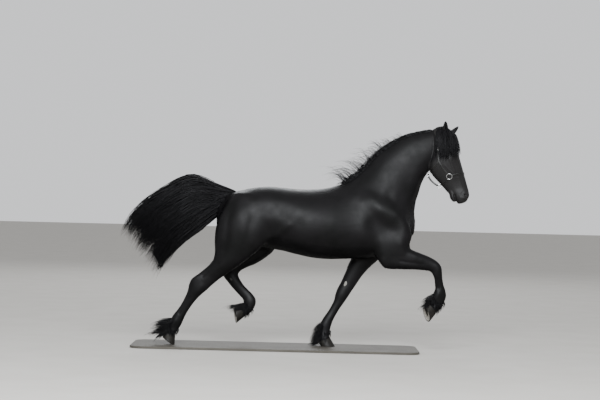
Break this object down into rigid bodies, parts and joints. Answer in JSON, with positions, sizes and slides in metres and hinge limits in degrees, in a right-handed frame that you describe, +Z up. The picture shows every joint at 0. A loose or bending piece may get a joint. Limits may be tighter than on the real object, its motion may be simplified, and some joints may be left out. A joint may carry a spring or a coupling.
{
  "type": "friesian horse",
  "caption": "Life-size black horse with long wavy mane, arched tail and feathered legs, held at an extended trot on a flat base, wearing a show halter.",
  "frame": {"origin": "middle of the base plate's underside", "axes": "+X from tail to nose, +Y to the horse's left, +Z up"},
  "size_m": [3.0326, 0.7, 2.0262],
  "materials": {
    "coat": "short, close-lying black coat with a groomed sheen, and the long hair grown from it",
    "hair": "long coarse black tail hair",
    "hoof": "dark horn, with a light grey sole",
    "eye": "wet dark brown",
    "leather": "narrow polished black leather",
    "fitting": "bright nickelled metal",
    "base": "plain matt sand grey, sealed"
  },
  "bodies": {
    "root": {"ear_left": "coat", "ear_right": "coat", "eye_left": "eye", "eye_right": "eye", "foreleg_left_hoof": "hoof", "foreleg_left_lower": "coat", "foreleg_left_upper": "coat", "foreleg_right_hoof": "hoof", "foreleg_right_lower": "coat", "foreleg_right_upper": "coat", "halter_buckle_left": "fitting", "halter_buckle_right": "fitting", "halter_chin_ring": "leather", "halter_ring_left": "fitting", "halter_ring_right": "fitting", "halter_straps": "leather", "halter_throat_strap_end": "leather", "head": "coat", "hindleg_left_hoof": "hoof", "hindleg_left_lower": "coat", "hindleg_left_upper": "coat", "hindleg_right_hoof": "hoof", "hindleg_right_lower": "coat", "hindleg_right_upper": "coat", "neck": "coat", "stand_base": "base", "tail": "hair", "torso": "coat"}
  },
  "joints": []
}
